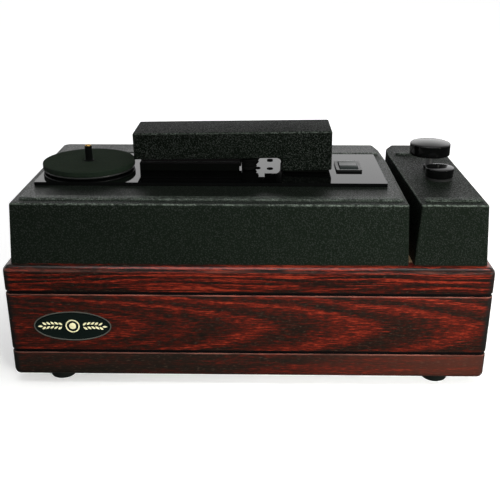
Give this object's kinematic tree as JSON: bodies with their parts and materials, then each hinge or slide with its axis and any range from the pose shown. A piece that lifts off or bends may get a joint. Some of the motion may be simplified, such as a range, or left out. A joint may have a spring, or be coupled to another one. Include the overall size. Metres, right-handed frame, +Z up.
{
  "type": "record cleaning machine",
  "caption": "Vacuum record cleaning machine: wooden cabinet, black covers, small driven platter with spindle, tilting suction head, rocker switch, fluid pump and filler cap.",
  "frame": {"origin": "on the resting surface, under the middle of the cabinet", "axes": "+X to the right along the cabinet's long side, +Y to the back, +Z up"},
  "size_m": [0.4424, 0.227, 0.2211],
  "materials": {
    "stained_wood": "semi-gloss red stain over open grain",
    "raw_wood": "plain",
    "black_rubber": "matt",
    "badge_black": "gloss with gold edge",
    "textured_black": "leather-grain texture, slight sheen",
    "gloss_black": "polished",
    "matte_black": "satin",
    "black_felt": "felt",
    "black_velvet": "velvet pile",
    "platter_plate": "satin",
    "brass_metal": "satin",
    "steel": "satin",
    "black_metal": "satin",
    "clear_plastic": "milky",
    "grey_pipe": "satin",
    "aluminium_part": "as cast"
  },
  "bodies": {
    "root": {"badge": "badge_black", "bearing_bush": "brass_metal", "blower_case": "steel", "blower_motor": "steel", "bottom_panel": "raw_wood", "cabinet_back": "stained_wood", "cabinet_front": "stained_wood", "cabinet_left": "stained_wood", "cabinet_right": "stained_wood", "corner_blocks": "raw_wood", "deck_plate": "gloss_black", "deck_screws": "black_metal", "drive_belt": "black_rubber", "drive_motor": "steel", "feet": "black_rubber", "filler_neck": "matte_black", "fluid_outlet": "matte_black", "fluid_tank": "clear_plastic", "fluid_tube": "clear_plastic", "hinge_leaf_fixed": "black_metal", "hinge_pin": "steel", "inlet_pins": "brass_metal", "lower_lips": "black_velvet", "lower_nozzle": "matte_black", "machine_screws": "black_metal", "main_cover": "textured_black", "mains_inlet": "matte_black", "motor_bracket": "steel", "pump_barrel": "matte_black", "reservoir_cover": "textured_black", "shelf": "raw_wood", "switch_body": "matte_black", "vacuum_manifold": "grey_pipe", "vacuum_pipe": "grey_pipe", "waste_tank": "clear_plastic", "wood_screws": "steel", "pump_spring": "steel"},
    "platter": {"platter_disc": "platter_plate", "platter_mat": "black_felt", "spindle_sleeve": "gloss_black", "spindle_tip": "brass_metal", "platter_shaft": "steel", "platter_pulley": "matte_black", "shaft_clip": "steel"},
    "motor_rotor": {"motor_shaft": "steel", "motor_pulley": "brass_metal"},
    "blower_rotor": {"impeller": "aluminium_part", "blower_shaft": "steel"},
    "head": {"head_housing": "textured_black", "upper_nozzle": "matte_black", "upper_lips": "black_velvet", "head_boot": "black_rubber", "head_pad": "black_rubber", "hinge_leaf_moving": "black_metal", "hinge_screws": "black_metal"},
    "rocker": {"switch_rocker": "gloss_black"},
    "pump": {"pump_knob": "gloss_black", "pump_plunger": "steel"},
    "filler_cap": {"filler_cap": "gloss_black"},
    "drain_cap": {"drain_cap": "black_rubber"}
  },
  "joints": [
    {"name": "platter_spin", "type": "hinge", "parent": "root", "child": "platter", "pos_m": [-0.1594, -0.0018, 0.18], "axis": [0, 0, 1], "continuous": true},
    {"name": "motor_spin", "type": "hinge", "parent": "root", "child": "motor_rotor", "pos_m": [-0.1, -0.062, 0.143], "axis": [0, 0, 1], "continuous": true},
    {"name": "blower_spin", "type": "hinge", "parent": "root", "child": "blower_rotor", "pos_m": [0.075, -0.0018, 0.09], "axis": [0, 0, 1], "continuous": true},
    {"name": "head_tilt", "type": "hinge", "parent": "root", "child": "head", "pos_m": [0.055, 0.038, 0.1835], "axis": [-1, 0, 0], "range_deg": [0, 88]},
    {"name": "rocker_tilt", "type": "hinge", "parent": "root", "child": "rocker", "pos_m": [0.0976, 0.0033, 0.177], "axis": [-1, 0, 0], "range_deg": [0, 14]},
    {"name": "pump_press", "type": "slide", "parent": "root", "child": "pump", "axis": [0, 0, -1], "range_m": [0, 0.0108], "stiffness_N_per_m": 400, "springref_m": -0.003, "deforming": ["pump_spring"]},
    {"name": "filler_cap_lift", "type": "slide", "parent": "root", "child": "filler_cap", "axis": [0, 0, 1], "range_m": [0, 0.03]},
    {"name": "drain_cap_pull", "type": "slide", "parent": "root", "child": "drain_cap", "axis": [0, 1, 0], "range_m": [0, 0.015]}
  ],
  "couplings": [
    {"joint": "motor_spin", "follows": "platter_spin", "ratio": 3.125}
  ]
}
